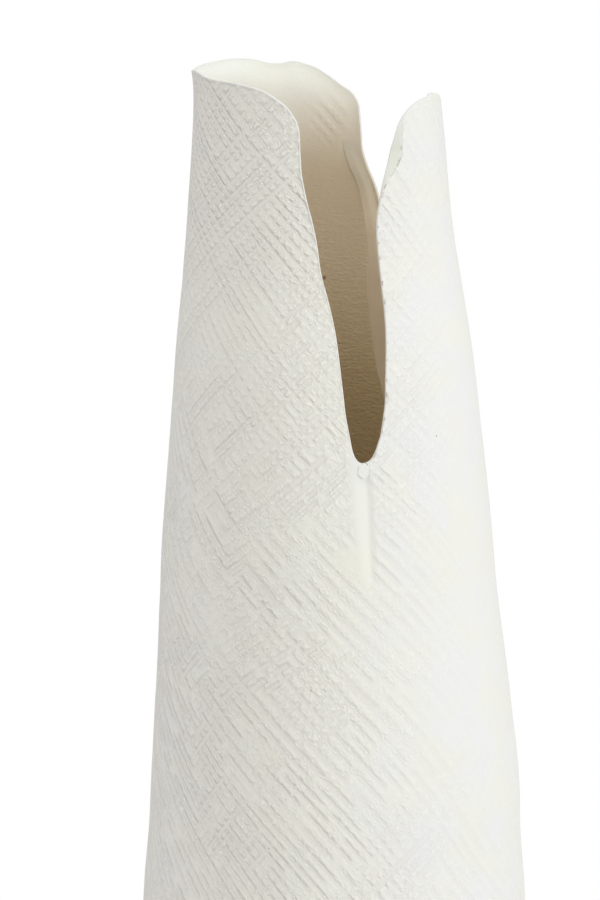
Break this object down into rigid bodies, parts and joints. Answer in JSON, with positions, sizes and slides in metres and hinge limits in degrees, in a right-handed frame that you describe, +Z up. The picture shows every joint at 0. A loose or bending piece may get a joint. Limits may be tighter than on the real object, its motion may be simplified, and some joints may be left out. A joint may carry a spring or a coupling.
{
  "type": "flower vase",
  "caption": "Tall slab-built white bisque vase, a leaning cone with a cross-hatched surface, a long front slit and a back notch.",
  "frame": {"origin": "middle of the vase's foot on the plane that the felt pads stand on", "axes": "+Z up along the vase; the front slit faces -Y; +X is to the right as seen from the front"},
  "size_m": [0.1776, 0.1775, 0.4818],
  "materials": {
    "scored_clay": "matte unglazed, cross-hatched",
    "plain_clay": "matte unglazed",
    "smoothed_clay": "matte unglazed, smoothed by hand",
    "pellet_clay": "matte unglazed",
    "felt": "matte wool felt"
  },
  "bodies": {
    "root": {"wall_slab": "scored_clay", "floor_slab": "plain_clay", "floor_coil": "smoothed_clay", "back_seam_strip": "smoothed_clay", "dart_strip": "smoothed_clay", "slit_pellet": "pellet_clay", "foot_pad_1": "felt", "foot_pad_2": "felt", "foot_pad_3": "felt", "foot_pad_4": "felt"}
  },
  "joints": []
}
